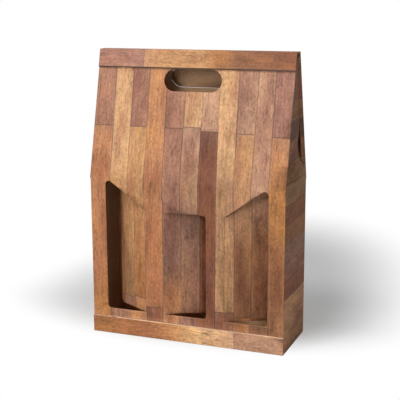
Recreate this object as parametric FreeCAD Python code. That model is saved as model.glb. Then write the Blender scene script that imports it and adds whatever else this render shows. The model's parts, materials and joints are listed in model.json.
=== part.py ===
import FreeCAD, Part
import math
import os

# Carry carton for three bottles, folded from one sheet of fine corrugated board.
# The lower half is an upright box with three windows in its front. Above the shoulder
# crease the front and back lean together to a narrow ridge with a hand hole through both.
# X runs along the width, -Y faces the front, +Z is up, and the carton stands on Z = 0.

# Overall sizes, in millimetres
width = 255.0
body_depth = 90.4
shoulder_height = 203.0
total_height = 360.0
ridge_width = 16.0

# The board and the play left at loose folds and cuts
board = 1.6
fold_play = 0.2
cut_play = 0.4

# Glued lip of the bottom panel, turned up over the front
lip_height = 23.0
lip_inset = 0.5

# Dust flaps inside the bottom, and the glue tab inside the left back corner
dust_flap_length = 62.0
dust_flap_corner = 14.0
glue_tab_width = 16.0
glue_tab_inset = 5.0

# Windows, each with a flap that stays hinged on one upright side
window_width = 55.0
window_sill = 33.5
window_side_margin = 21.0
window_slant_deg = 35.5
window_top_gap = 3.5
window_corner_radius = 4.8
middle_corner_radius = 4.0
left_flap_open_deg = 30.0
middle_flap_open_deg = 28.0
right_flap_open_deg = 25.0

# Hand hole through the front, and the pressed-out hole and flap in the back
hand_hole_length = 75.0
hand_hole_height = 27.6
back_hole_length = 81.5
back_hole_height = 26.0
grip_flap_open_deg = 3.0

# Closing flap: a strip over the ridge with a band that hangs over the front
band_height = 22.6

# End panels above the shoulder, folded inwards behind the side tabs of the roof
end_lean_deg = 6.5
end_panel_gap = 3.0
tab_fold_deg = 92.0
tab_top_notch = 2.6
back_tab_start = 17.0
back_tab_width = 14.0
back_tab_bevel = 13.0
front_tab_start = 30.0
front_tab_width = 40.0
front_tab_bevel = 12.0

half_width = width / 2
overall_depth = body_depth + board
front_y = -overall_depth / 2 + board
back_y = overall_depth / 2
ridge_front_y = -ridge_width / 2
ridge_back_y = ridge_width / 2
UP = FreeCAD.Vector(0, 0, 1)
ALONG_X = FreeCAD.Vector(1, 0, 0)


# Small helpers for lines in the side view, held as (y, z) pairs

def meet(point_a, direction_a, point_b, direction_b):
    """Where two lines of the side view cross."""
    cross = direction_a[0] * direction_b[1] - direction_a[1] * direction_b[0]
    gap_y = point_b[0] - point_a[0]
    gap_z = point_b[1] - point_a[1]
    step = (gap_y * direction_b[1] - gap_z * direction_b[0]) / cross
    return (point_a[0] + step * direction_a[0], point_a[1] + step * direction_a[1])


def shifted(point, direction, distance):
    """The point moved a distance along a direction."""
    return (point[0] + distance * direction[0], point[1] + distance * direction[1])


def front_roof_lean():
    """Lean of the front roof, so that the closing band lies over it with the ridge as its corner."""
    rise = total_height - shoulder_height
    run = ridge_front_y - front_y
    over_board = board + fold_play
    return math.atan2(run, rise) + math.asin(over_board / math.hypot(run, rise))


def back_roof_lean():
    """Lean of the back roof, from the shoulder crease to the ridge crease."""
    return math.atan2(back_y - ridge_back_y, total_height - shoulder_height)


front_lean = front_roof_lean()
back_lean = back_roof_lean()
front_up = (math.sin(front_lean), math.cos(front_lean))
back_up = (-math.sin(back_lean), math.cos(back_lean))
front_in = (math.cos(front_lean), -math.sin(front_lean))
back_in = (-math.cos(back_lean), -math.sin(back_lean))
front_crease = (front_y, shoulder_height)
back_crease = (back_y, shoulder_height)
ridge_back = (ridge_back_y, total_height)
ridge_underside = total_height - board
LEVEL = (1.0, 0.0)
UPRIGHT = (0.0, 1.0)


def extrude_side_view(outline, x_low, x_high):
    """A closed (y, z) outline made solid between two places along X."""
    points = [FreeCAD.Vector(x_low, y, z) for y, z in outline]
    face = Part.Face(Part.makePolygon(points + points[:1]))
    return face.extrude(ALONG_X * (x_high - x_low))


def extrude_front_view(outline, y_low, y_high):
    """A closed (x, z) outline made solid between two places along Y."""
    points = [FreeCAD.Vector(x, y_low, z) for x, z in outline]
    face = Part.Face(Part.makePolygon(points + points[:1]))
    return face.extrude(FreeCAD.Vector(0, y_high - y_low, 0))


def block(low, high):
    """A box between two corners."""
    size = FreeCAD.Vector(*high) - FreeCAD.Vector(*low)
    return Part.makeBox(size.x, size.y, size.z, FreeCAD.Vector(*low))


def roof_frame(crease, up, inward):
    """Placement whose X runs along the ridge, Y up the roof and Z into the carton."""
    up_vector = FreeCAD.Vector(0, *up)
    in_vector = FreeCAD.Vector(0, *inward)
    across = up_vector.cross(in_vector)
    turn = FreeCAD.Rotation(across, up_vector, in_vector, "ZXY")
    return FreeCAD.Placement(FreeCAD.Vector(0, *crease), turn)


# Lower box

def upright_tube():
    """Front, sides and back below the shoulder, with softly rounded upright folds."""
    outer = block((-half_width, front_y, board), (half_width, back_y, shoulder_height))
    uprights = [edge for edge in outer.Edges if edge.tangentAt(edge.FirstParameter).cross(UP).Length < 1e-6]
    outer = outer.makeFillet(board, uprights)
    inner = block(
        (-half_width + board, front_y + board, 0),
        (half_width - board, back_y - board, shoulder_height),
    )
    return outer.cut(inner)


def bottom_and_lip():
    """Bottom panel, run out under the front and turned up over it as a glued lip."""
    outline = [
        (back_y, 0),
        (back_y, board),
        (front_y, board),
        (front_y, lip_height),
        (front_y - board, lip_height),
        (front_y - board, 0),
    ]
    sheet = extrude_side_view(outline, -half_width + lip_inset, half_width - lip_inset)
    creases = [
        edge for edge in sheet.Edges
        if edge.BoundBox.XLength > width / 2
        and edge.BoundBox.ZMax < board / 2
    ]
    return sheet.makeFillet(board * 0.8, creases)


def bottom_dust_flap(side):
    """Flap of one side panel, folded in over the bottom, with bevelled corners."""
    wall_x = side * (half_width - board)
    tip_x = wall_x - side * dust_flap_length
    bevel_x = tip_x + side * dust_flap_corner
    low_y = front_y + board
    high_y = back_y - board
    points = [
        (wall_x, low_y), (bevel_x, low_y), (tip_x, low_y + dust_flap_corner),
        (tip_x, high_y - dust_flap_corner), (bevel_x, high_y), (wall_x, high_y),
    ]
    corners = [FreeCAD.Vector(x, y, board) for x, y in points]
    return Part.Face(Part.makePolygon(corners + corners[:1])).extrude(UP * board)


def glue_tab():
    """Tab of the back panel, glued inside the left side panel."""
    inner_x = -half_width + board
    inner_y = back_y - board
    low_z = 2 * board + glue_tab_inset
    high_z = shoulder_height - glue_tab_inset
    return block((inner_x, inner_y - glue_tab_width, low_z), (inner_x + board, inner_y, high_z))


# Roof

def front_roof():
    """Front roof panel, cut off level under the closing strip."""
    top = ridge_underside - fold_play
    outer_top = meet(front_crease, front_up, (0, top), LEVEL)
    inner_start = shifted(front_crease, front_in, board)
    inner_top = meet(inner_start, front_up, (0, top), LEVEL)
    inner_knee = meet(inner_start, front_up, (front_y + board, 0), UPRIGHT)
    foot = shoulder_height - board
    outline = [(front_y, foot), front_crease, outer_top, inner_top, inner_knee, (front_y + board, foot)]
    return extrude_side_view(outline, -half_width, half_width)


def ridge_mitre():
    """Inner corner of the fold between the back roof and the closing strip."""
    inner_start = shifted(back_crease, back_in, board)
    return meet(inner_start, back_up, (0, ridge_underside), LEVEL)


def back_roof():
    """Back roof panel, mitred at the ridge crease that the closing strip turns on."""
    inner_start = shifted(back_crease, back_in, board)
    inner_knee = meet(inner_start, back_up, (back_y - board, 0), UPRIGHT)
    outer_top = shifted(ridge_back, back_up, -fold_play)
    inner_top = shifted(ridge_mitre(), back_up, -fold_play)
    foot = shoulder_height - board
    outline = [(back_y, foot), back_crease, outer_top, inner_top, inner_knee, (back_y - board, foot)]
    return extrude_side_view(outline, -half_width, half_width)


def between_planes(front_inset, back_inset, top):
    """Space between two planes, each parallel to a roof's outer face and set in from it."""
    front_start = shifted(front_crease, front_in, front_inset)
    back_start = shifted(back_crease, back_in, back_inset)
    outline = [
        meet(front_start, front_up, (0, shoulder_height), LEVEL),
        meet(front_start, front_up, (0, top), LEVEL),
        meet(back_start, back_up, (0, top), LEVEL),
        meet(back_start, back_up, (0, shoulder_height), LEVEL),
    ]
    return extrude_side_view(outline, -half_width, half_width)


def between_roofs(play):
    """Space inside the two roof panels, as a solid the full width of the carton."""
    return between_planes(board + play, board + play, ridge_underside - end_panel_gap)


def end_panel(side):
    """Upper part of one side, folded inwards at the shoulder and narrowed between the roofs."""
    lean = math.radians(end_lean_deg)
    rise = total_height - shoulder_height
    shift = rise * math.tan(lean)
    thickness = board / math.cos(lean)
    outer_x = half_width
    outline = [
        (side * outer_x, shoulder_height),
        (side * (outer_x - shift), total_height),
        (side * (outer_x - shift - thickness), total_height),
        (side * (outer_x - thickness), shoulder_height),
    ]
    leaning = extrude_front_view(outline, front_y, back_y)
    return leaning.common(between_roofs(cut_play))


def roof_tab(side, crease, up, inward, start, tab_width, bevel):
    """Tab on one end of a roof panel, folded a little past square over the end panel."""
    past_square = math.radians(tab_fold_deg - 90)
    roof_length = (ridge_underside - shoulder_height) / up[1]
    up_vector = FreeCAD.Vector(0, *up)
    in_vector = FreeCAD.Vector(0, *inward)
    out_vector = FreeCAD.Vector(side, 0, 0)
    across = in_vector * math.cos(past_square) - out_vector * math.sin(past_square)
    through = out_vector * -math.cos(past_square) - in_vector * math.sin(past_square)
    corner = FreeCAD.Vector(side * half_width, *crease)
    outline = [
        (start, 0),
        (roof_length - tab_top_notch, 0),
        (roof_length - tab_top_notch, tab_width),
        (start + bevel, tab_width),
    ]
    points = [corner + up_vector * s + across * w for s, w in outline]
    return Part.Face(Part.makePolygon(points + points[:1])).extrude(through * board)


def roof_tabs(side):
    """The two side tabs at one end: the back one at full width, the front one cut to meet it."""
    back_tab = roof_tab(
        side, back_crease, back_up, back_in, back_tab_start, back_tab_width, back_tab_bevel
    )
    front_tab = roof_tab(
        side, front_crease, front_up, front_in, front_tab_start, front_tab_width, front_tab_bevel
    )
    return [
        front_tab.common(between_planes(0, back_tab_width + cut_play, ridge_underside)),
        back_tab.common(between_planes(board + cut_play, 0, ridge_underside)),
    ]


# Windows and their flaps

def rounded_profile(points, radii, y_place):
    """Outline in the front view with some corners rounded by tangent arcs."""
    count = len(points)
    starts = []
    ends = []
    arcs = []
    for index in range(count):
        corner = FreeCAD.Vector(points[index][0], y_place, points[index][1])
        before = FreeCAD.Vector(points[index - 1][0], y_place, points[index - 1][1])
        after = FreeCAD.Vector(points[(index + 1) % count][0], y_place, points[(index + 1) % count][1])
        to_before = (before - corner).normalize()
        to_after = (after - corner).normalize()
        half_angle = to_before.getAngle(to_after) / 2
        radius = radii[index]
        reach = radius / math.tan(half_angle)
        start = corner + to_before * reach
        end = corner + to_after * reach
        if radius > 0:
            bisector = (to_before + to_after).normalize()
            middle = corner + bisector * (radius / math.sin(half_angle) - radius)
            arcs.append(Part.Arc(start, middle, end).toShape())
        else:
            arcs.append(None)
        starts.append(start)
        ends.append(end)
    edges = []
    for index in range(count):
        if arcs[index]:
            edges.append(arcs[index])
        edges.append(Part.makeLine(ends[index], starts[(index + 1) % count]))
    return Part.Face(Part.Wire(edges))


def outer_window_heights():
    """Height of an outer window's free side, to its sharp corner, and of its hinged side."""
    slant = math.radians(window_slant_deg)
    arc_drop = window_corner_radius * (math.tan(slant) + 1 / math.cos(slant) - 1)
    free_top = shoulder_height - window_top_gap + arc_drop
    hinged_top = free_top - window_width * math.tan(slant)
    return free_top, hinged_top


def window_face(hinge_x, toward, free_top, hinged_top, radius, play, y_place):
    """One window, or its flap when play is more than nothing: hinged side first."""
    free_x = hinge_x + toward * (window_width - play)
    low = window_sill + play
    points = [(hinge_x, low), (free_x, low), (free_x, free_top - play), (hinge_x, hinged_top - play)]
    return rounded_profile(points, [0, radius, radius, 0], y_place)


def window_specs():
    """Name, hinge place, direction of the free side, both heights, corner radius and rest angle."""
    free_top, hinged_top = outer_window_heights()
    near = half_width - window_side_margin - window_width
    return [
        ("left", -near, -1, free_top, hinged_top, window_corner_radius, left_flap_open_deg),
        ("middle", -window_width / 2, 1, hinged_top, hinged_top, middle_corner_radius, middle_flap_open_deg),
        ("right", near, 1, free_top, hinged_top, window_corner_radius, right_flap_open_deg),
    ]


def window_cutters():
    """The three windows as solids that pass through the front panel."""
    cutters = []
    for name, hinge_x, toward, free_top, hinged_top, radius, open_deg in window_specs():
        face = window_face(hinge_x, toward, free_top, hinged_top, radius, 0, front_y - board)
        cutters.append(face.extrude(FreeCAD.Vector(0, 3 * board, 0)))
    return cutters


def window_flap(hinge_x, toward, free_top, hinged_top, radius, open_deg):
    """Flap pressed inwards about the inner edge of its upright crease."""
    face = window_face(hinge_x, toward, free_top, hinged_top, radius, cut_play, front_y)
    flap = face.extrude(FreeCAD.Vector(0, board, 0))
    flap.rotate(FreeCAD.Vector(hinge_x, front_y + board, 0), UP, toward * open_deg)
    return flap


# Hand holes and the grip flap

def slot_face(length, height, centre_up):
    """Slot with round ends, flat in the roof's own plane."""
    radius = height / 2
    straight = length / 2 - radius
    low = centre_up - radius
    high = centre_up + radius
    right = Part.Arc(
        FreeCAD.Vector(straight, low, 0),
        FreeCAD.Vector(straight + radius, centre_up, 0),
        FreeCAD.Vector(straight, high, 0),
    )
    left = Part.Arc(
        FreeCAD.Vector(-straight, high, 0),
        FreeCAD.Vector(-straight - radius, centre_up, 0),
        FreeCAD.Vector(-straight, low, 0),
    )
    bottom = Part.makeLine(FreeCAD.Vector(-straight, low, 0), FreeCAD.Vector(straight, low, 0))
    top = Part.makeLine(FreeCAD.Vector(straight, high, 0), FreeCAD.Vector(-straight, high, 0))
    return Part.Face(Part.Wire([bottom, right.toShape(), top, left.toShape()]))


def front_roof_length():
    """Length up the front roof to the corner where the closing band turns over."""
    outer_start = shifted(front_crease, front_in, -(board + fold_play))
    top = meet(outer_start, front_up, (0, total_height), LEVEL)
    return math.hypot(top[0] - outer_start[0], top[1] - outer_start[1])


def hand_hole_top():
    """Distance up the roof to the hand hole's upper edge, which lines up with the band's edge."""
    return front_roof_length() - band_height


def front_hole_cutter():
    """Hand hole through the front roof."""
    face = slot_face(hand_hole_length, hand_hole_height, hand_hole_top() - hand_hole_height / 2)
    hole = face.extrude(FreeCAD.Vector(0, 0, 3 * board))
    hole.translate(FreeCAD.Vector(0, 0, -board))
    hole.Placement = roof_frame(front_crease, front_up, front_in).multiply(hole.Placement)
    return hole


def back_hole_cutter():
    """Hole that the grip flap leaves in the back roof."""
    face = slot_face(back_hole_length, back_hole_height, hand_hole_top() - back_hole_height / 2)
    hole = face.extrude(FreeCAD.Vector(0, 0, 3 * board))
    hole.translate(FreeCAD.Vector(0, 0, -board))
    hole.Placement = roof_frame(back_crease, back_up, back_in).multiply(hole.Placement)
    return hole


def grip_flap():
    """Flap of the back hole, hinged along the straight top and pressed a little outwards."""
    top = hand_hole_top()
    length = back_hole_length - 2 * cut_play
    height = back_hole_height - cut_play
    face = slot_face(length, height, top - height / 2)
    flap = face.extrude(FreeCAD.Vector(0, 0, board))
    hinge = FreeCAD.Vector(0, top, 0)
    flap.rotate(hinge, ALONG_X, grip_flap_open_deg)
    flap.Placement = roof_frame(back_crease, back_up, back_in).multiply(flap.Placement)
    return flap


# Whole pieces

def carton():
    """The glued and folded sheet, without the flaps that move."""
    pieces = [bottom_and_lip(), glue_tab(), front_roof(), back_roof()]
    for side in (-1, 1):
        pieces.append(bottom_dust_flap(side))
        pieces.append(end_panel(side))
        pieces.extend(roof_tabs(side))
    shell = upright_tube().multiFuse(pieces).removeSplitter()
    for cutter in window_cutters() + [front_hole_cutter(), back_hole_cutter()]:
        shell = shell.cut(cutter)
    return shell


def closing_flap():
    """Ridge strip and front band, one sheet folded along the ridge's front crease."""
    outer_start = shifted(front_crease, front_in, -(board + fold_play))
    inner_start = shifted(front_crease, front_in, -fold_play)
    outer_corner = meet(outer_start, front_up, (0, total_height), LEVEL)
    inner_corner = meet(inner_start, front_up, (0, ridge_underside), LEVEL)
    band_low = shifted(outer_corner, front_up, -band_height)
    band_low_inner = shifted(band_low, front_in, board)
    outline = [ridge_back, outer_corner, band_low, band_low_inner, inner_corner, ridge_mitre()]
    sheet = extrude_side_view(outline, -half_width, half_width)
    crease = [
        edge for edge in sheet.Edges
        if edge.BoundBox.XLength > width / 2
        and edge.BoundBox.ZMin > total_height - board / 4
        and edge.BoundBox.YMax < 0
    ]
    return sheet.makeFillet(board * 0.8, crease)


def main():
    """Build every piece and write one file for each."""
    pieces = {"carton": carton(), "closing_flap": closing_flap(), "grip_flap": grip_flap()}
    for name, hinge_x, toward, free_top, hinged_top, radius, open_deg in window_specs():
        flap = window_flap(hinge_x, toward, free_top, hinged_top, radius, open_deg)
        pieces["window_flap_" + name] = flap
    os.makedirs("parts", exist_ok=True)
    for name, shape in pieces.items():
        shape.exportStep("parts/" + name + ".step")
        box = shape.BoundBox
        print(name, "solids", len(shape.Solids), "valid", shape.isValid(), "volume", round(shape.Volume))
        print("  x", round(box.XMin, 2), round(box.XMax, 2), "y", round(box.YMin, 2), round(box.YMax, 2),
              "z", round(box.ZMin, 2), round(box.ZMax, 2))
    return pieces


main()
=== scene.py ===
import json
import math
import random
from collections import namedtuple

import bmesh
import bpy
from mathutils import Matrix, Vector


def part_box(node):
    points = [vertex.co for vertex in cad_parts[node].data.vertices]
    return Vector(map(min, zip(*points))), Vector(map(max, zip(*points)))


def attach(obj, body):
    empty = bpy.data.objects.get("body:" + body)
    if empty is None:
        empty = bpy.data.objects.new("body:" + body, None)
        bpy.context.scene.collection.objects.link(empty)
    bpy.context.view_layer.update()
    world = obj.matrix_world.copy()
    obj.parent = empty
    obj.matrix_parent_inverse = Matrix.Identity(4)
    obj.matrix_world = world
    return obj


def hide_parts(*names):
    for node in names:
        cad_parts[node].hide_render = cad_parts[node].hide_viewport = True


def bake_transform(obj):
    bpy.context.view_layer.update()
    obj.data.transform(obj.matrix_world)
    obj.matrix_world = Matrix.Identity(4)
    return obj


# Looks of the three bottle carry carton: old wooden planks printed outside, brown kraft
# inside, and the fluted core of the board on every cut edge. Lengths are in metres, and
# the print layouts are written in millimetres.

MM = 0.001

# Sizes of the carton that the print follows
board = 1.6 * MM
half_width = 127.5 * MM
front_y = -44.4 * MM
back_y = 46.0 * MM
shoulder = 203.0 * MM
total_height = 360.0 * MM
front_lean = math.radians(13.693)
back_lean = math.radians(13.606)
end_lean = math.radians(6.5)
tab_turn = math.radians(2.0)
roof_length = 161.0 * MM
lip_height = 23.0 * MM
band_start = 138.55 * MM
band_play = 0.2 * MM

# The board's flutes, and how many ribs the wave texture has for each unit of its scale
flute_pitch = 3.2 * MM
ribs_per_scale = 3.2

# Plank rows of the bottom and the back
bottom_plank = 24.0 * MM
back_plank = 23.2 * MM

# Painted highlight along the lip's upper edge, where its pale cut edge catches the light, and painted
# shadow line along the closing band's lower edge
lip_highlight_height = 1.3 * MM
shade_line_height = 1.2 * MM

# How far each plank and each area moves on in the endless grain pattern
plank_shift = 0.37
area_shift = 1.9

# No row has more boards than this, so every board of an area gets a number of its own
most_boards = 7

# How squarely a face looks outwards, and how far from its true depth it may lie
facing_share = 0.7
edge_on_share = 0.3
depth_play = 0.1 * MM
print_depth = 0.55 * MM
liner_play = 0.35 * MM

# Where the flaps inside the bottom and the glue tab are, and the least area of the tab's face
inside_half_depth = 44 * MM
least_glue_tab = 1e-4

# Corners this close are joined, and folds sharper than this stay sharp
weld_distance = 1e-6
smooth_limit = math.radians(32)

# Paper strips round the creases of the window flaps, reach and dip in board thicknesses
strip_steps = 6
strip_reach = 0.995
strip_dip = 0.22
strip_end_play = 0.3 * MM
strip_print_offset = 1.5 * MM
strip_joint_gap = 5 * MM
hinged_side_reach = 2.5 * MM

# Soft shadow on the floor: its middle, and how far it reaches round the carton
shadow_x = -0.03
shadow_y = 0.10
shadow_beside = 0.30
shadow_behind = 0.62
shadow_before = 0.17
floor_reach = 12.0
floor_drop = 0.3 * MM
floor_grey = (0.62, 0.62, 0.62, 1)
white = (1, 1, 1, 1)
world_strength = 0.25

# Camera at the photograph's place, with its focal length in the photograph's pixels
camera_place = (0.4257, -1.0858, 0.4261)
camera_yaw = math.radians(21.268)
camera_pitch = math.radians(12.222)
camera_roll = math.radians(-0.212)
focal_pixels = 949.8
photo_pixels = 400
sensor_width = 36.0

UP = Vector((0, 0, 1))
RIGHT = Vector((1, 0, 0))
BACK = Vector((0, 1, 0))

# A place beyond every face, in millimetres: a board that ends there runs to the sheet's edge
FAR = 400


def tone(red, green, blue):
    """A colour from its usual 0 to 255 numbers, as linear light."""
    linear = []
    for part in (red, green, blue):
        share = part / 255
        linear.append(share / 12.92 if share < 0.04045 else ((share + 0.055) / 1.055) ** 2.4)
    return tuple(linear)


# Named tones of the printed planks
PALE_TAN = tone(218, 168, 122)
YELLOW_TAN = tone(206, 152, 104)
TAN = tone(200, 148, 110)
PINK_TAN = tone(204, 156, 124)
ORANGE_TAN = tone(196, 136, 94)
ORANGE_BROWN = tone(182, 120, 82)
AMBER = tone(184, 124, 76)
OLIVE_TAN = tone(166, 124, 86)
MAUVE_PINK = tone(176, 126, 106)
MAUVE_TAN = tone(188, 142, 114)
MAUVE_BROWN = tone(172, 122, 98)
GREY_MAUVE = tone(160, 118, 98)
RED_BROWN = tone(150, 94, 66)
DARK_RED_BROWN = tone(130, 80, 58)
DARK_BROWN = tone(112, 74, 52)
BROWN = tone(156, 106, 72)
DULL_TAN = tone(180, 134, 100)
LIGHT_TAN = tone(232, 182, 138)
# Painted highlight of the lip's lit top edge, and painted shadow along the closing band's lower edge
LIP_EDGE_HIGHLIGHT = tone(236, 190, 154)
SHADE_LINE = tone(70, 56, 52)

ALL_TONES = [
    TAN, ORANGE_BROWN, MAUVE_TAN, YELLOW_TAN, MAUVE_BROWN, ORANGE_TAN, PALE_TAN, RED_BROWN, PINK_TAN,
]

# Tones of the marks on the planks
SAW_MARK = tone(112, 78, 60)
CRACK = tone(92, 62, 48)
KNOT = tone(88, 54, 38)
END_STAIN = tone(138, 118, 104)
WORN_LINE = tone(232, 194, 150)
JOINT_LINE = tone(88, 70, 66)

# Factors that weather, bleach or streak a plank's own tone
WEATHERED = (0.78, 0.70, 0.72)
BLEACHED = (1.14, 1.16, 1.02)
STREAKED = (0.90, 0.77, 0.70)

# Tones of the kraft inside and of the cut edge, with painted shade for the hollows between its flutes
KRAFT_DARK = tone(206, 162, 122)
KRAFT_LIGHT = tone(230, 190, 150)
KRAFT_CLOUD = tone(194, 148, 108)
KRAFT_SPECK = tone(112, 78, 50)
EDGE_DARK = tone(178, 134, 96)
EDGE_LIGHT = tone(204, 160, 120)
FLUTE_HOLLOW_SHADE = tone(126, 90, 62)

# How close each noise lies, per metre along the grain, across it and from plank to plank
STREAKS = (30, 420, 1)
BANDS = (10, 120, 1)
BLOTCHES = (45, 90, 1)
WIDE_BLOTCHES = (11, 30, 1)
SPECKS = (250, 450, 1)
SAW_LINES = (190, 14, 1)
SAWN_PLANKS = (3, 9, 5)
CRACK_LINES = (14, 130, 1)
PITS = (90, 130, 1)
PITTED_PARTS = (20, 40, 1)
KNOTS = (11, 30, 1)

# How close the kraft's fibres lie, per metre to the right, to the back and upwards
KRAFT_FIBRES = (900, 900, 260)


# Print layouts. A layout is a list of plank rows, each with its two edges and its boards
# along the grain, as (end, tone) from the low end up. An edge is a place across the grain
# and a slope, because the printed planks aren't quite parallel.

def row_between(low, high, boards, low_slope=0.0, high_slope=0.0):
    """One row of planks, its edges and board ends given in millimetres."""
    ends = [(end * MM, colour) for end, colour in boards]
    return ((low * MM, low_slope), (high * MM, high_slope), ends)


def plain_rows(edges, tones):
    """Rows of one board each, between neighbouring edges in millimetres."""
    return [
        row_between(low, high, [(FAR, colour)])
        for low, high, colour in zip(edges[:-1], edges[1:], tones)
    ]


def shaded(*stops):
    """Tone of a board that changes softly along the grain, as (place in millimetres, tone)."""
    return [(place * MM, colour) for place, colour in stops]


def tone_at(colour, along):
    """A board's tone at a place along the grain."""
    if not isinstance(colour, list):
        return colour
    for (low, first), (high, second) in zip(colour[:-1], colour[1:]):
        if along <= high:
            share = max(0.0, (along - low) / (high - low))
            return tuple(a + (b - a) * share for a, b in zip(first, second))
    return colour[-1][1]


def front_planks(on_roof):
    """The eleven upright planks of the front, read from left to right."""
    at_bottom = [-127.5, -103, -76.5, -52, -30, -8, 15.5, 39, 62.5, 83.5, 107.5, 127.5]
    at_shoulder = [-127.5, -100, -77, -54.5, -29.5, -6.5, 17, 40.5, 62.5, 84, 106, 127.5]
    at_top = [-127.5, -102.5, -79, -57.5, -34, -8.5, 14, 34.5, 59, 84, 105, 127.5]
    greying = shaded((60, MAUVE_BROWN), (150, GREY_MAUVE), (200, DULL_TAN), (250, MAUVE_TAN))
    # Boards that grow lighter towards the top carry the print's own changes of tone and, in part,
    # painted shade: the lower wall is darkened for light falling from above, and planks 9 and 10 most
    # where the right window flap lies in shade
    planks = [
        [(269, shaded((40, AMBER), (90, ORANGE_BROWN), (200, ORANGE_TAN))), (FAR, MAUVE_BROWN)],
        [(46, MAUVE_BROWN), (FAR, shaded((60, OLIVE_TAN), (190, YELLOW_TAN), (240, PALE_TAN)))],
        [(50, ORANGE_TAN), (269, shaded((60, AMBER), (200, YELLOW_TAN))), (FAR, MAUVE_BROWN)],
        [(41, RED_BROWN), (FAR, shaded((120, ORANGE_BROWN), (230, ORANGE_TAN)))],
        [(269, shaded((56, ORANGE_TAN), (100, GREY_MAUVE), (220, MAUVE_BROWN))), (FAR, MAUVE_BROWN)],
        [(271, greying), (FAR, PALE_TAN)],
        [(267, shaded((30, RED_BROWN), (80, DARK_RED_BROWN))), (FAR, PINK_TAN)],
        [(45, RED_BROWN), (FAR, shaded((90, DULL_TAN), (205, DULL_TAN), (245, PALE_TAN)))],
        [(38, AMBER), (266, shaded((120, BROWN), (170, TAN), (230, YELLOW_TAN))), (FAR, MAUVE_TAN)],
        [(32, BROWN), (FAR, shaded((140, BROWN), (186, PINK_TAN)))],
        [(264, shaded((60, BROWN), (190, AMBER), (230, ORANGE_TAN))), (FAR, MAUVE_PINK)],
    ]
    lower, upper, foot, rise = at_bottom, at_shoulder, 0.0, shoulder / MM
    if on_roof:
        lower, upper, foot, rise = at_shoulder, at_top, shoulder / MM, roof_length / MM
    rows = []
    for index, boards in enumerate(planks):
        slopes = [(upper[edge] - lower[edge]) / rise for edge in (index, index + 1)]
        low, high = [lower[index + side] - slopes[side] * foot for side in (0, 1)]
        rows.append(row_between(low, high, boards, slopes[0], slopes[1]))
    return rows


def random_rows(low, high, pitch, tones, shortest, longest, start, stop, seed):
    """Rows of one pitch with boards of varied length, the same on every run."""
    dice = random.Random(seed)
    rows = []
    place = low
    while place < high:
        boards = []
        end = start + dice.uniform(0.2, 1.0) * longest
        while end < stop:
            boards.append((end, dice.choice(tones)))
            end += dice.uniform(shortest, longest)
        boards.append((stop + FAR * MM, dice.choice(tones)))
        rows.append(((place, 0.0), (place + pitch, 0.0), boards))
        place += pitch
    return rows


class Area:
    """One flat outer face of the folded sheet, with the print that lies on it.

    The seed shifts the grain, and joints says how strongly the lines between planks show.
    """

    def __init__(
        self, seed, origin, outward, along, rows, along_start=0.0, across_start=0.0, joints=1.0
    ):
        self.seed = seed
        self.joints = joints
        self.origin = Vector(origin)
        self.outward = Vector(outward).normalized()
        self.along = Vector(along).normalized()
        # Across never runs to the left or downwards
        self.across = self.along.cross(self.outward).normalized()
        if self.across.x < -0.5 or self.across.z < -0.5:
            self.across = -self.across
        self.rows = rows
        self.along_start = along_start
        self.across_start = across_start

    def depth(self, point):
        """How far under the outer face a point lies."""
        return -(point - self.origin).dot(self.outward)

    def along_at(self, point):
        return self.along_start + (point - self.origin).dot(self.along)

    def across_at(self, point):
        return self.across_start + (point - self.origin).dot(self.across)


def front_areas():
    """Front wall and front roof, one print run over the shoulder crease."""
    roof_out = (0, -math.cos(front_lean), math.sin(front_lean))
    roof_up = (0, math.sin(front_lean), math.cos(front_lean))
    roof = (0, front_y, shoulder)
    return [
        Area(1, (0, front_y, 0), -BACK, UP, front_planks(False)),
        Area(1, roof, roof_out, roof_up, front_planks(True), along_start=shoulder),
    ]


def back_areas():
    """Back wall and back roof, with upright planks of their own."""
    planks = random_rows(
        -half_width, half_width, back_plank, ALL_TONES, 120 * MM, 260 * MM, 0, 400 * MM, 11
    )
    roof_out = (0, math.cos(back_lean), math.sin(back_lean))
    roof_up = (0, -math.sin(back_lean), math.cos(back_lean))
    return [
        Area(2, (0, back_y, 0), BACK, UP, planks),
        Area(2, (0, back_y, shoulder), roof_out, roof_up, planks, along_start=shoulder),
    ]


def side_rows():
    """Level planks of a side, carried on up the leaning end panel."""
    edges = [-2, 68, 91, 113, 136, 159, 183, 208, 232, 257, 281, 305, 330, 380]
    tones = [
        TAN, RED_BROWN, MAUVE_BROWN, GREY_MAUVE, BROWN, RED_BROWN, OLIVE_TAN, OLIVE_TAN,
        BROWN, DARK_BROWN, BROWN, RED_BROWN, BROWN,
    ]
    return plain_rows(edges, tones)


def front_tab_rows():
    """Brown planks of the wide front tab, square to the roof's edge."""
    edges = [0, 54, 78, 96, 118, 127, 142, 170]
    tones = [RED_BROWN, RED_BROWN, DARK_BROWN, RED_BROWN, DARK_BROWN, DARK_RED_BROWN, RED_BROWN]
    return plain_rows(edges, tones)


def back_tab_rows():
    """Paler planks of the narrow back tab."""
    return plain_rows([0, 45, 92, 139, 170], [PINK_TAN, PALE_TAN, PINK_TAN, PALE_TAN])


def side_areas(side):
    """One side wall, the end panel over it and the two roof tabs."""
    out = RIGHT * side
    panel_out = (side * math.cos(end_lean), 0, math.sin(end_lean))
    crease = (side * half_width, 0, shoulder)
    return [
        Area(4 + side, (side * half_width, 0, 0), out, BACK, side_rows(), joints=1.6),
        Area(4 + side, crease, panel_out, BACK, side_rows(), across_start=shoulder),
        tab_area(side, front_y, front_lean, 1, front_tab_rows()),
        tab_area(side, back_y, back_lean, -1, back_tab_rows()),
    ]


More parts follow.
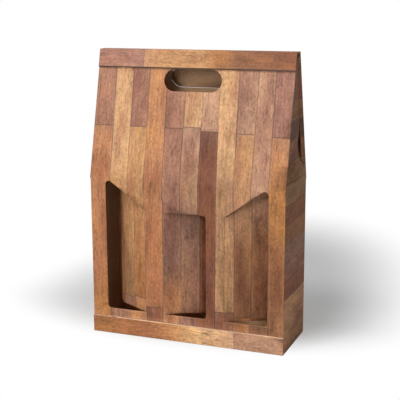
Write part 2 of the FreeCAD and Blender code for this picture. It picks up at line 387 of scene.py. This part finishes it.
def tab_area(side, crease_y, lean, toward, rows):
    """Outer face of one roof tab, folded a little past square about the roof's end."""
    inward = Vector((0, toward * math.cos(lean), -math.sin(lean)))
    out = RIGHT * side
    face_out = out * math.cos(tab_turn) + inward * math.sin(tab_turn)
    width_way = inward * math.cos(tab_turn) - out * math.sin(tab_turn)
    return Area(7 + toward, (side * half_width, crease_y, shoulder), face_out, width_way, rows)


def lip_areas():
    """Glued lip along the bottom of the front, and the bottom itself."""
    warm = shaded((-110, AMBER), (-50, ORANGE_BROWN), (-20, ORANGE_TAN), (5, PALE_TAN), (20, LIGHT_TAN))
    top = lip_height / MM
    # Pale row along the lip's top: painted highlight where the pale cut edge catches the light
    lip_highlight_row = row_between(top - lip_highlight_height / MM, top + 2, [(FAR, LIP_EDGE_HIGHLIGHT)])
    lip = [lip_highlight_row, row_between(-2, 40, [(64, warm), (FAR, PINK_TAN)])]
    under = random_rows(-60 * MM, 60 * MM, bottom_plank, ALL_TONES, 0.1, 0.2, -0.2, 0.2, 21)
    return [
        Area(9, (0, front_y - board, 0), -BACK, RIGHT, lip, joints=0.2),
        Area(10, (0, 0, 0), -UP, RIGHT, under),
    ]


def carton_areas():
    return lip_areas() + front_areas() + back_areas() + side_areas(1) + side_areas(-1)


def closing_areas():
    """Ridge strip and the band that hangs over the front."""
    band_out = Vector((0, -math.cos(front_lean), math.sin(front_lean)))
    start = Vector((0, front_y, shoulder)) + band_out * (board + band_play)
    pale_part = [(-60, TAN), (-40, YELLOW_TAN), (12, YELLOW_TAN)]
    dark_part = [(30, AMBER), (55, BROWN), (125, RED_BROWN)]
    boards = [(-66, MAUVE_PINK), (FAR, shaded(*pale_part, *dark_part))]
    low = band_start / MM
    shade_top = low + shade_line_height / MM
    # Dark row along the band's lower edge: painted shadow of the band's edge on the roof
    shade_row = row_between(low - 1, shade_top, [(FAR, SHADE_LINE)])
    return [
        Area(11, start, band_out, RIGHT, [shade_row, row_between(shade_top, FAR, boards)], joints=0.3),
        Area(12, (0, 0, total_height), UP, RIGHT, [row_between(-FAR, FAR, boards)], joints=0.3),
    ]


# Marking the faces

PRINT = 0
LINER = 1
CUT = 2


def mark_faces(bm, areas):
    """Give each face its area and say whether it is print, kraft inside or a cut edge."""
    area_layer = bm.faces.layers.int.new("area")
    for face in bm.faces:
        face[area_layer] = -1
        face.material_index = CUT
        centre = face.calc_center_median()
        for index, area in enumerate(areas):
            if lies_outside(face, centre, area):
                face[area_layer] = index
                face.material_index = PRINT
                break
            if face[area_layer] < 0 and lies_between(face, area):
                face[area_layer] = index
        if face.material_index == CUT and lies_inside(face, centre, areas):
            face.material_index = LINER
    return area_layer


def lies_outside(face, centre, area):
    """True for a face in the area's outer paper."""
    facing = face.normal.dot(area.outward) > facing_share
    return facing and -depth_play < area.depth(centre) < print_depth


def lies_between(face, area):
    """True for a cut edge of the area, square to it and no deeper than the board."""
    depths = [area.depth(vertex.co) for vertex in face.verts]
    edge_on = abs(face.normal.dot(area.outward)) < edge_on_share
    return edge_on and min(depths) > -depth_play and max(depths) < board + depth_play


def lies_inside(face, centre, areas):
    """True for the kraft face of the sheet: a board's thickness under an outer face, or a broad flap."""
    for area in areas:
        facing = face.normal.dot(area.outward) < -facing_share
        if facing and abs(area.depth(centre) - board) < liner_play:
            return True
    near_floor = centre.z < 4 * board and abs(centre.y) < inside_half_depth
    near_left_wall = centre.x < -half_width + 3 * board and face.calc_area() > least_glue_tab
    facing_up = face.normal.z > facing_share
    facing_right = face.normal.x > facing_share
    return (facing_up and near_floor) or (facing_right and near_left_wall)


def split_faces(bm, faces, point, normal):
    """Cut only these faces along a plane."""
    edges = {edge for face in faces for edge in face.edges}
    vertices = {vertex for face in faces for vertex in face.verts}
    geometry = list(faces) + list(edges) + list(vertices)
    bmesh.ops.bisect_plane(bm, geom=geometry, dist=weld_distance, plane_co=point, plane_no=normal)


def faces_of(bm, area_layer, index):
    return [face for face in bm.faces if face[area_layer] == index and face.material_index == PRINT]


def edge_at(edge, along):
    """Where a plank's edge lies across the grain at a place along it."""
    return edge[0] + edge[1] * along


def faces_in_row(bm, area_layer, index, area, low, high):
    """Printed faces of an area that lie between two plank edges."""
    found = []
    for face in faces_of(bm, area_layer, index):
        centre = face.calc_center_median()
        along = area.along_at(centre)
        if edge_at(low, along) < area.across_at(centre) < edge_at(high, along):
            found.append(face)
    return found


def split_along_planks(bm, areas, area_layer):
    """Cut the printed faces along every plank edge and board end."""
    for index, area in enumerate(areas):
        for low, high, boards in area.rows:
            for edge in (low, high):
                place = edge_at(edge, area.along_start) - area.across_start
                point = area.origin + area.across * place
                normal = area.across - area.along * edge[1]
                split_faces(bm, faces_of(bm, area_layer, index), point, normal)
            for end in board_cuts(boards):
                row = faces_in_row(bm, area_layer, index, area, low, high)
                point = area.origin + area.along * (end - area.along_start)
                split_faces(bm, row, point, area.along)


def board_cuts(boards):
    """Places along a row where one board ends or its tone begins to change."""
    cuts = [end for end, _ in boards[:-1]]
    for _, colour in boards:
        if isinstance(colour, list):
            cuts += [place for place, _ in colour]
    return sorted(cuts)


Plank = namedtuple("Plank", "number colour low high start end")


def find_plank(area, along, across):
    """The plank at a place: its number and tone, its two edges and its two ends."""
    for row, (low, high, boards) in enumerate(area.rows):
        if edge_at(low, along) <= across <= edge_at(high, along):
            start = -FAR * MM
            for step, (end, colour) in enumerate(boards):
                if along <= end:
                    return Plank(row * most_boards + step, colour, low, high, start, end)
                start = end
    low, high, boards = area.rows[-1]
    return Plank(0, boards[-1][1], low, high, -FAR * MM, FAR * MM)


def print_layers(bm):
    """The three layers that the print reads: place in the grain, room to each edge, and tone."""
    corners = bm.loops.layers
    place_layer = corners.float_vector.new("plank_place")
    room_layer = corners.float_color.new("plank_room")
    tone_layer = corners.float_color.new("plank_tone")
    return place_layer, room_layer, tone_layer


def grain_shift(area, plank):
    """How far a plank's grain is moved, so that it differs from its neighbours'."""
    return plank_shift * plank.number + area_shift * area.seed


def write_print(bm, areas, area_layer):
    """Store each corner's place on its plank, its distance to the plank's edges, and the tone."""
    place_layer, room_layer, tone_layer = print_layers(bm)
    for face in bm.faces:
        index = face[area_layer]
        if index < 0:
            continue
        area = areas[index]
        centre = face.calc_center_median()
        plank = find_plank(area, area.along_at(centre), area.across_at(centre))
        shift = grain_shift(area, plank)
        # The painted highlight row and the painted shadow row get no joint lines
        joints = 0.0 if plank.colour in (LIP_EDGE_HIGHLIGHT, SHADE_LINE) else area.joints
        for loop in face.loops:
            point = loop.vert.co
            along = area.along_at(point)
            across = area.across_at(point)
            if face.material_index == PRINT:
                loop[place_layer] = Vector((along + shift, across + shift, shift))
            else:
                loop[place_layer] = Vector((along, across, area.depth(point) / board))
            low_gap = across - edge_at(plank.low, along)
            high_gap = edge_at(plank.high, along) - across
            loop[room_layer] = (low_gap, high_gap, along - plank.start, plank.end - along)
            loop[tone_layer] = (*tone_at(plank.colour, along), joints)


def smooth_mesh(bm, name, materials):
    """Mesh made of the worked faces, shaded smooth, with its materials."""
    mesh = bpy.data.meshes.new(name)
    bm.to_mesh(mesh)
    bm.free()
    mesh.shade_smooth()
    for material in materials:
        mesh.materials.append(material)
    return mesh


def placed(name, data):
    """A new object in the scene that shows a mesh, a lamp or a camera."""
    made = bpy.data.objects.new(name, data)
    bpy.context.scene.collection.objects.link(made)
    return made


def dressed(node_name, areas, flatten=Matrix.Identity(4)):
    """Replace a solid by its printed copy. Flatten turns a flap back into the sheet meanwhile."""
    source = frame["nodes"][node_name]
    bm = bmesh.new()
    bm.from_mesh(source.data)
    bmesh.ops.remove_doubles(bm, verts=bm.verts, dist=weld_distance)
    bmesh.ops.transform(bm, matrix=flatten, verts=bm.verts)
    bm.normal_update()
    area_layer = mark_faces(bm, areas)
    split_along_planks(bm, areas, area_layer)
    write_print(bm, areas, area_layer)
    bmesh.ops.transform(bm, matrix=flatten.inverted(), verts=bm.verts)
    mesh = smooth_mesh(bm, node_name + "_printed", (plank_print, kraft_liner, cut_edge))
    mesh.set_sharp_from_angle(angle=smooth_limit)
    piece = placed(node_name + "_printed", mesh)
    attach(piece, node_name)
    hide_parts(node_name)


# Shader building

class Tree:
    """Small helper that adds shader nodes to one material or world."""

    def __init__(self, owner):
        owner.use_nodes = True
        self.tree = owner.node_tree
        self.tree.nodes.clear()

    def add(self, kind, inputs=None, **settings):
        made = self.tree.nodes.new(kind)
        for name, value in settings.items():
            setattr(made, name, value)
        for name, value in (inputs or {}).items():
            self.feed(made.inputs[name], value)
        return made

    def feed(self, socket, value):
        if isinstance(value, bpy.types.NodeSocket):
            self.tree.links.new(value, socket)
        else:
            socket.default_value = value

    def calc(self, operation, first, second=0.0, third=0.0):
        made = self.add("ShaderNodeMath", {0: first, 1: second, 2: third}, operation=operation)
        return made.outputs[0]

    def times(self, first, second):
        return self.calc("MULTIPLY", first, second)

    def stretched(self, vector, scales):
        made = self.add("ShaderNodeVectorMath", {0: vector, 1: scales}, operation="MULTIPLY")
        return made.outputs[0]

    def noise(self, vector, scale=1.0, detail=3.0, roughness=0.55, distortion=0.0):
        made = self.add(
            "ShaderNodeTexNoise",
            {"Vector": vector, "Scale": scale, "Detail": detail, "Roughness": roughness,
             "Distortion": distortion},
        )
        return made.outputs["Fac"]

    def fade(self, value, low, high, out_low=0.0, out_high=1.0):
        """Smooth change from one level to the other while the value goes from low to high."""
        made = self.add(
            "ShaderNodeMapRange",
            {"Value": value, "From Min": low, "From Max": high, "To Min": out_low, "To Max": out_high},
            interpolation_type="SMOOTHSTEP",
        )
        return made.outputs["Result"]

    def blend(self, share, first, second, way="MIX"):
        """Mix of two colours, each another node's output or a tone."""
        made = self.add("ShaderNodeMix", data_type="RGBA", blend_type=way)
        self.feed(made.inputs[0], share)
        for place, colour in ((6, first), (7, second)):
            self.feed(made.inputs[place], (*colour, 1) if isinstance(colour, tuple) else colour)
        return made.outputs[2]

    def finish(self, colour, roughness, height, depth):
        """Matt surface of this colour, with bumps of this depth where the height changes."""
        shader = self.add("ShaderNodeBsdfPrincipled", {"Base Color": colour, "Roughness": roughness})
        shader.inputs["Specular IOR Level"].default_value = 0.3
        bump = self.add("ShaderNodeBump", {"Height": height, "Distance": depth, "Strength": 0.5})
        self.feed(shader.inputs["Normal"], bump.outputs["Normal"])
        out = self.add("ShaderNodeOutputMaterial")
        self.tree.links.new(shader.outputs[0], out.inputs["Surface"])


def make_plank_print():
    """Printed old planks: grain along each plank, blotches, cracks, knots and dark joints."""
    material = bpy.data.materials.new("plank_print")
    t = Tree(material)
    place = t.add("ShaderNodeAttribute", attribute_name="plank_place").outputs["Vector"]
    room = t.add("ShaderNodeAttribute", attribute_name="plank_room")
    printed = t.add("ShaderNodeAttribute", attribute_name="plank_tone")
    split = t.add("ShaderNodeSeparateColor", {"Color": room.outputs["Color"]})
    side_gap = t.calc("MINIMUM", split.outputs[0], split.outputs[1])
    end_gap = t.calc("MINIMUM", split.outputs[2], room.outputs["Alpha"])
    streaks = t.noise(t.stretched(place, STREAKS), detail=4, roughness=0.6, distortion=0.4)
    bands = t.noise(t.stretched(place, BANDS), detail=3, distortion=0.8)
    blotches = t.noise(t.stretched(place, BLOTCHES), detail=4, roughness=0.6)
    wide = t.noise(t.stretched(place, WIDE_BLOTCHES), detail=3)
    specks = t.noise(t.stretched(place, SPECKS), detail=3, roughness=0.7)
    layers = [(streaks, 0.95), (bands, 0.50), (blotches, 0.95), (specks, 1.5)]
    colour = grained(t, printed.outputs["Color"], layers)
    colour = t.blend(t.fade(wide, 0.50, 0.64), colour, WEATHERED, "MULTIPLY")
    colour = t.blend(t.fade(wide, 0.48, 0.36), colour, BLEACHED, "MULTIPLY")
    colour = t.blend(t.fade(streaks, 0.54, 0.70), colour, STREAKED, "MULTIPLY")
    colour = t.blend(saw_marks(t, place, wide), colour, SAW_MARK)
    colour = t.blend(cracks(t, place, bands), colour, CRACK)
    colour = t.blend(pits_and_knots(t, place), colour, KNOT)
    colour = t.blend(end_stain(t, room.outputs["Alpha"], bands), colour, END_STAIN)
    colour = t.blend(worn_line(t, side_gap), colour, WORN_LINE)
    joints = t.times(joint_lines(t, side_gap, end_gap, wide), printed.outputs["Alpha"])
    colour = t.blend(joints, colour, JOINT_LINE)
    height = t.calc("SUBTRACT", streaks, t.times(joints, 0.8))
    t.finish(colour, 0.66, height, 0.06 * MM)
    return material


def grained(t, base, layers):
    """The plank's tone made lighter and darker by layers of noise, each with its strength."""
    level = 1.0
    for noise, strength in layers:
        level = t.calc("ADD", level, t.calc("MULTIPLY_ADD", noise, strength, -strength / 2))
    grey = t.add("ShaderNodeCombineColor", {0: level, 1: level, 2: level}).outputs[0]
    return t.blend(1.0, base, grey, "MULTIPLY")


def saw_marks(t, place, wide):
    """Faint marks of an old saw straight across some planks."""
    across_grain = t.noise(t.stretched(place, SAW_LINES), detail=2)
    some_planks = t.noise(t.stretched(place, SAWN_PLANKS), detail=1)
    marks = t.times(t.fade(across_grain, 0.60, 0.70), t.fade(some_planks, 0.52, 0.62))
    return t.times(marks, t.fade(wide, 0.35, 0.55, 0.10, 0.35))


def cracks(t, place, bands):
    """Thin cracks that wander along the grain."""
    field = t.noise(t.stretched(place, CRACK_LINES), detail=2, distortion=0.6)
    line = t.fade(t.calc("ABSOLUTE", t.calc("SUBTRACT", field, 0.5)), 0.018, 0.003)
    return t.times(line, t.fade(bands, 0.50, 0.62, 0.0, 0.65))


def pits_and_knots(t, place):
    """Small dark pits, and a knot here and there."""
    fine = t.stretched(place, PITS)
    coarse = t.stretched(place, KNOTS)
    pits = t.add("ShaderNodeTexVoronoi", {"Vector": fine, "Scale": 1.0}).outputs["Distance"]
    knots = t.add("ShaderNodeTexVoronoi", {"Vector": coarse, "Scale": 1.0}).outputs["Distance"]
    here = t.fade(t.noise(t.stretched(place, PITTED_PARTS), detail=1), 0.54, 0.64)
    pits = t.times(t.fade(pits, 0.16, 0.06, 0.0, 0.6), here)
    return t.calc("MAXIMUM", pits, t.fade(knots, 0.09, 0.02, 0.0, 0.6))


def end_stain(t, end_room, bands):
    """Faint stain towards a board's far end."""
    stain = t.times(t.fade(end_room, 26 * MM, 3 * MM), t.fade(bands, 0.44, 0.56))
    return t.times(stain, 0.2)


def worn_line(t, side_gap):
    """Faint pale line beside each joint, where a plank's edge is worn."""
    line = t.times(t.fade(side_gap, 0.9 * MM, 1.5 * MM), t.fade(side_gap, 2.8 * MM, 1.7 * MM))
    return t.times(line, 0.08)


def joint_lines(t, side_gap, end_gap, wide):
    """Dark joints: uneven ones between planks, and plain ones where a board ends."""
    uneven = t.fade(wide, 0.42, 0.58, 0.10, 0.62)
    beside = t.times(t.fade(side_gap, 1.0 * MM, 0.25 * MM), uneven)
    return t.calc("MAXIMUM", beside, t.fade(end_gap, 0.95 * MM, 0.3 * MM, 0.0, 0.6))


def make_kraft_liner():
    """Unprinted brown kraft with fibres, specks and the faint ribs of the flutes."""
    material = bpy.data.materials.new("kraft_liner")
    t = Tree(material)
    place = t.add("ShaderNodeTexCoord").outputs["Object"]
    fibres = t.noise(t.stretched(place, KRAFT_FIBRES), detail=4, roughness=0.7)
    clouds = t.noise(place, scale=28, detail=3)
    specks = t.noise(place, scale=1400, detail=1)
    ribs = t.add(
        "ShaderNodeTexWave",
        {"Vector": place, "Scale": 1 / flute_pitch / ribs_per_scale, "Distortion": 0.6, "Detail": 1.0},
        wave_type="BANDS", bands_direction="X",
    ).outputs["Fac"]
    colour = t.blend(t.fade(fibres, 0.3, 0.7), KRAFT_DARK, KRAFT_LIGHT)
    colour = t.blend(t.fade(clouds, 0.4, 0.65, 0.0, 0.35), colour, KRAFT_CLOUD)
    colour = t.blend(t.fade(specks, 0.64, 0.70, 0.0, 0.6), colour, KRAFT_SPECK)
    height = t.calc("ADD", t.times(ribs, 0.5), t.times(fibres, 0.4))
    t.finish(colour, 0.8, height, 0.12 * MM)
    return material


def make_cut_edge():
    """Cut edge of the board: two liners with the wavy core between them, and painted shade in the
    hollows.
    """
    material = bpy.data.materials.new("cut_edge")
    t = Tree(material)
    place = t.add("ShaderNodeAttribute", attribute_name="plank_place").outputs["Vector"]
    split = t.add("ShaderNodeSeparateXYZ", {"Vector": place})
    across = split.outputs["Y"]
    depth = split.outputs["Z"]
    turn = t.times(across, 2 * math.pi / flute_pitch)
    wave = t.calc("MULTIPLY_ADD", t.calc("SINE", turn), 0.30, 0.5)
    off_core = t.calc("ABSOLUTE", t.calc("SUBTRACT", depth, wave))
    core = t.fade(off_core, 0.20, 0.10)
    skin = t.fade(t.calc("ABSOLUTE", t.calc("SUBTRACT", depth, 0.5)), 0.30, 0.36)
    paper = t.calc("MAXIMUM", core, skin)
    fuzz = t.noise(t.add("ShaderNodeTexCoord").outputs["Object"], scale=1100, detail=3)
    light = t.blend(t.fade(fuzz, 0.35, 0.65), EDGE_DARK, EDGE_LIGHT)
    # Where no paper is, the hollows between the flutes get painted shade
    colour = t.blend(paper, FLUTE_HOLLOW_SHADE, light)
    t.finish(colour, 0.85, paper, 0.3 * MM)
    return material


# Window flaps and the creases they turn on

def joint_named(name):
    return next(joint for joint in frame["joints"] if joint["name"] == name)


def flap_flattening(node_name):
    """Turn that takes a resting flap back into the sheet it was cut from."""
    joint = joint_named(node_name + "_hinge")
    pivot = Vector(joint["pos_m"])
    turn = Matrix.Rotation(math.radians(joint["range_deg"][0]), 4, Vector(joint["axis"]))
    return Matrix.Translation(pivot) @ turn @ Matrix.Translation(-pivot)


def crease_strip(name):
    """Outer paper that stretches round the crease between the front and a window flap."""
    joint = joint_named("window_flap_" + name + "_hinge")
    pivot = Vector(joint["pos_m"])
    flap_low, flap_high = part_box("window_flap_" + name)
    toward = 1 if flap_high.x + flap_low.x > 2 * pivot.x else -1
    opened = toward * math.radians(-joint["range_deg"][0])
    front = front_areas()[0]
    printed_x = pivot.x - toward * strip_print_offset
    low = flap_low.z + strip_end_play
    high = hinged_side_top(name)
    bm = bmesh.new()
    bend_strip(bm, pivot, opened, [low] + board_ends(front, printed_x, low, high) + [high])
    print_strip(bm, front, printed_x)
    piece = placed("crease_" + name, smooth_mesh(bm, "crease_" + name, (plank_print,)))
    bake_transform(piece)


def round_crease(pivot, turned, reach, height):
    """Point at a reach from the crease, turned that far from straight out of the front."""
    angle = turned - math.pi / 2
    return Vector((pivot.x + reach * math.cos(angle), pivot.y + reach * math.sin(angle), height))


def bend_strip(bm, pivot, opened, levels):
    """Faces of a strip that curves from the front to the opened flap, a little hollow between."""
    columns = []
    for step in range(strip_steps + 1):
        reach = board * (strip_reach - strip_dip * math.sin(math.pi * step / strip_steps))
        turned = opened * step / strip_steps
        columns.append([bm.verts.new(round_crease(pivot, turned, reach, z)) for z in levels])
    for left, right in zip(columns[:-1], columns[1:]):
        for foot in range(len(levels) - 1):
            bm.faces.new((left[foot], right[foot], right[foot + 1], left[foot + 1]))
    bm.normal_update()
    if bm.faces[:][0].normal.y > 0:
        bmesh.ops.reverse_faces(bm, faces=bm.faces)


def print_strip(bm, front, printed_x):
    """Carry the print of the front wall beside the crease on over the strip."""
    place_layer, room_layer, tone_layer = print_layers(bm)
    for face in bm.faces:
        plank = find_plank(front, face.calc_center_median().z, printed_x)
        shift = grain_shift(front, plank)
        for loop in face.loops:
            along = loop.vert.co.z
            loop[place_layer] = Vector((along + shift, loop.vert.co.x + shift, shift))
            loop[room_layer] = (strip_joint_gap, strip_joint_gap, along - plank.start, plank.end - along)
            loop[tone_layer] = (*tone_at(plank.colour, along), front.joints)


def board_ends(area, across, low, high):
    """Places where an upright line between two heights meets a board's end or change of tone."""
    for low_edge, high_edge, boards in area.rows:
        if edge_at(low_edge, low) <= across <= edge_at(high_edge, low):
            return [end for end in board_cuts(boards) if low < end < high]
    return []


def hinged_side_top(name):
    """Height of a window flap's hinged side, read from its solid close to the hinge."""
    pivot = Vector(joint_named("window_flap_" + name + "_hinge")["pos_m"])
    near = [
        vertex.co.z for vertex in frame["nodes"]["window_flap_" + name].data.vertices
        if abs(vertex.co.x - pivot.x) < hinged_side_reach
    ]
    return max(near) - strip_end_play


# Stage

def away_from_shadow(t):
    """How much plain white shows: a quarter in the soft shadow round the carton, all of it outside."""
    place = t.add("ShaderNodeSeparateXYZ", {"Vector": t.add("ShaderNodeTexCoord").outputs["Object"]})
    beside = t.calc("DIVIDE", t.calc("SUBTRACT", place.outputs["X"], shadow_x), shadow_beside)
    from_middle = t.calc("SUBTRACT", place.outputs["Y"], shadow_y)
    behind = t.calc("DIVIDE", t.calc("MAXIMUM", from_middle, 0.0), shadow_behind)
    before = t.calc("DIVIDE", t.calc("MINIMUM", from_middle, 0.0), shadow_before)
    squares = [t.times(part, part) for part in (beside, behind, before)]
    total = t.calc("ADD", t.calc("ADD", squares[0], squares[1]), squares[2])
    return t.fade(t.calc("SQRT", total), 0.50, 1.05, 0.25, 1.0)


def make_floor():
    """Pale floor that keeps the carton's shadow and runs out to white for the camera."""
    mesh = bpy.data.meshes.new("floor")
    signs = [(-1, -1), (1, -1), (1, 1), (-1, 1)]
    corners = [(floor_reach * x, floor_reach * y, -floor_drop) for x, y in signs]
    mesh.from_pydata(corners, [], [(0, 1, 2, 3)])
    material = bpy.data.materials.new("pale_floor")
    t = Tree(material)
    shown = t.add("ShaderNodeLightPath").outputs["Is Camera Ray"]
    paper = t.add("ShaderNodeBsdfDiffuse", {"Color": floor_grey})
    glow = t.add("ShaderNodeEmission", {"Color": white, "Strength": 1.0})
    share = t.times(away_from_shadow(t), shown)
    mixed = t.add("ShaderNodeMixShader", {0: share, 1: paper.outputs[0], 2: glow.outputs[0]})
    out = t.add("ShaderNodeOutputMaterial")
    t.tree.links.new(mixed.outputs[0], out.inputs["Surface"])
    mesh.materials.append(material)
    floor = placed("floor", mesh)


def make_world():
    """Soft light from all round, white where the camera looks past the floor."""
    world = bpy.data.worlds.new("studio")
    bpy.context.scene.world = world
    t = Tree(world)
    path = t.add("ShaderNodeLightPath")
    seen = t.calc("MAXIMUM", path.outputs["Is Camera Ray"], path.outputs["Is Glossy Ray"])
    seen = t.calc("MAXIMUM", seen, path.outputs["Is Transmission Ray"])
    soft = t.add("ShaderNodeBackground", {"Color": white, "Strength": world_strength})
    plain = t.add("ShaderNodeBackground", {"Color": white, "Strength": 1.0})
    mixed = t.add("ShaderNodeMixShader", {0: seen, 1: soft.outputs[0], 2: plain.outputs[0]})
    out = t.add("ShaderNodeOutputWorld")
    t.tree.links.new(mixed.outputs[0], out.inputs["Surface"])


def add_lamp(name, place, target, size, power):
    """Square soft lamp aimed at a point."""
    data = bpy.data.lights.new(name, "AREA")
    data.size = size
    data.energy = power
    lamp = placed(name, data)
    lamp.location = place
    lamp.rotation_euler = (Vector(target) - Vector(place)).to_track_quat("-Z", "Y").to_euler()


def make_camera():
    """Camera at the photograph's place, turn, tilt and field of view."""
    level = Vector((math.cos(camera_yaw), math.sin(camera_yaw), 0))
    forward = Vector((-math.sin(camera_yaw), math.cos(camera_yaw), 0))
    ahead = forward * math.cos(camera_pitch) - UP * math.sin(camera_pitch)
    above = level.cross(ahead)
    right = level * math.cos(camera_roll) + above * math.sin(camera_roll)
    top = above * math.cos(camera_roll) - level * math.sin(camera_roll)
    turn = Matrix((right, top, -ahead)).transposed().to_4x4()
    data = bpy.data.cameras.new("camera")
    data.sensor_width = sensor_width
    data.lens = focal_pixels / photo_pixels * sensor_width
    data.clip_start = 0.05
    data.clip_end = 100.0
    camera = placed("camera", data)
    camera.matrix_world = Matrix.Translation(camera_place) @ turn
    bpy.context.scene.camera = camera


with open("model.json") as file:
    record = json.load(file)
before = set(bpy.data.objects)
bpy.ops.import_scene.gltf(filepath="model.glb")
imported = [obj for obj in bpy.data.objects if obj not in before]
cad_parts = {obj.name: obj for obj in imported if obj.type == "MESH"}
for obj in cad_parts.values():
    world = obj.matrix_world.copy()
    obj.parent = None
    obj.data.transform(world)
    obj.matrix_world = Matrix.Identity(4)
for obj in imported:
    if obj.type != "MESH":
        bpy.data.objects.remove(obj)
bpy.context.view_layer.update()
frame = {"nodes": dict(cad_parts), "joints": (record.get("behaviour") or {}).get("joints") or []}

plank_print = make_plank_print()
kraft_liner = make_kraft_liner()
cut_edge = make_cut_edge()

dressed("carton", carton_areas())
dressed("closing_flap", closing_areas())
dressed("grip_flap", back_areas(), flap_flattening("grip_flap"))
for flap in ("left", "middle", "right"):
    dressed("window_flap_" + flap, front_areas(), flap_flattening("window_flap_" + flap))
    crease_strip(flap)

make_floor()
make_world()
add_lamp("key", place=(-0.75, -1.29, 2.38), target=(0, 0, 0.25), size=0.6, power=31)
add_lamp("front_fill", place=(-0.48, -1.70, 1.05), target=(0, 0, 0.32), size=0.9, power=14)
make_camera()
bpy.context.scene.view_settings.view_transform = "Standard"
